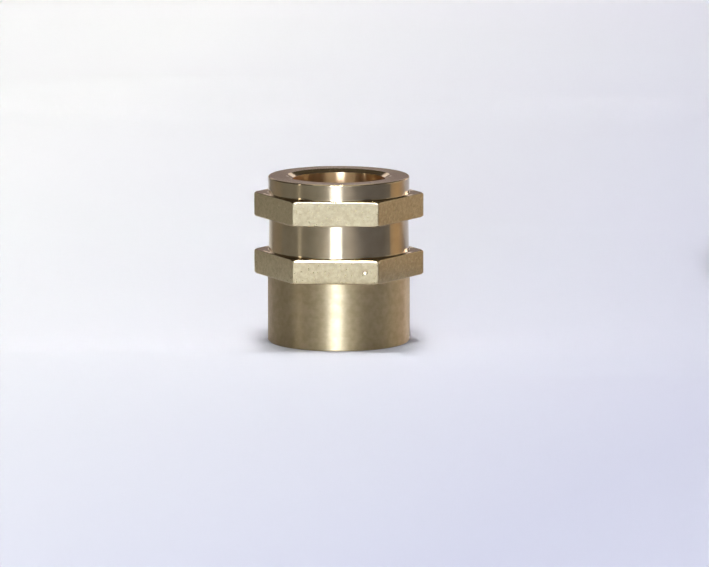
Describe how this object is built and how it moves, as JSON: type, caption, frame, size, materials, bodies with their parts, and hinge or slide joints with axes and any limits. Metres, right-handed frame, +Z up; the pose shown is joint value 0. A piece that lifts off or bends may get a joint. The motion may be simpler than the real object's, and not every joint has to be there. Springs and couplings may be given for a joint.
{
  "type": "brass insert",
  "caption": "Turned brass insert with hexagonal ribs that stop it turning in moulded plastic, and a straight through bore tapped for a pipe thread.",
  "frame": {"origin": "middle of the base, on the bore's axis, where the insert stands on its barrel", "axes": "+Z up along the bore, from the threaded mouth at the base to the collar; two flats of the hexagon face +Y and -Y, and two corners point along +X and -X"},
  "size_m": [0.0346, 0.03, 0.034],
  "materials": {
    "brass": "turned, bright on the collar and waist, satin on the barrel, drawn on the hexagon flats"
  },
  "bodies": {
    "root": {"insert_body": "brass"}
  },
  "joints": []
}
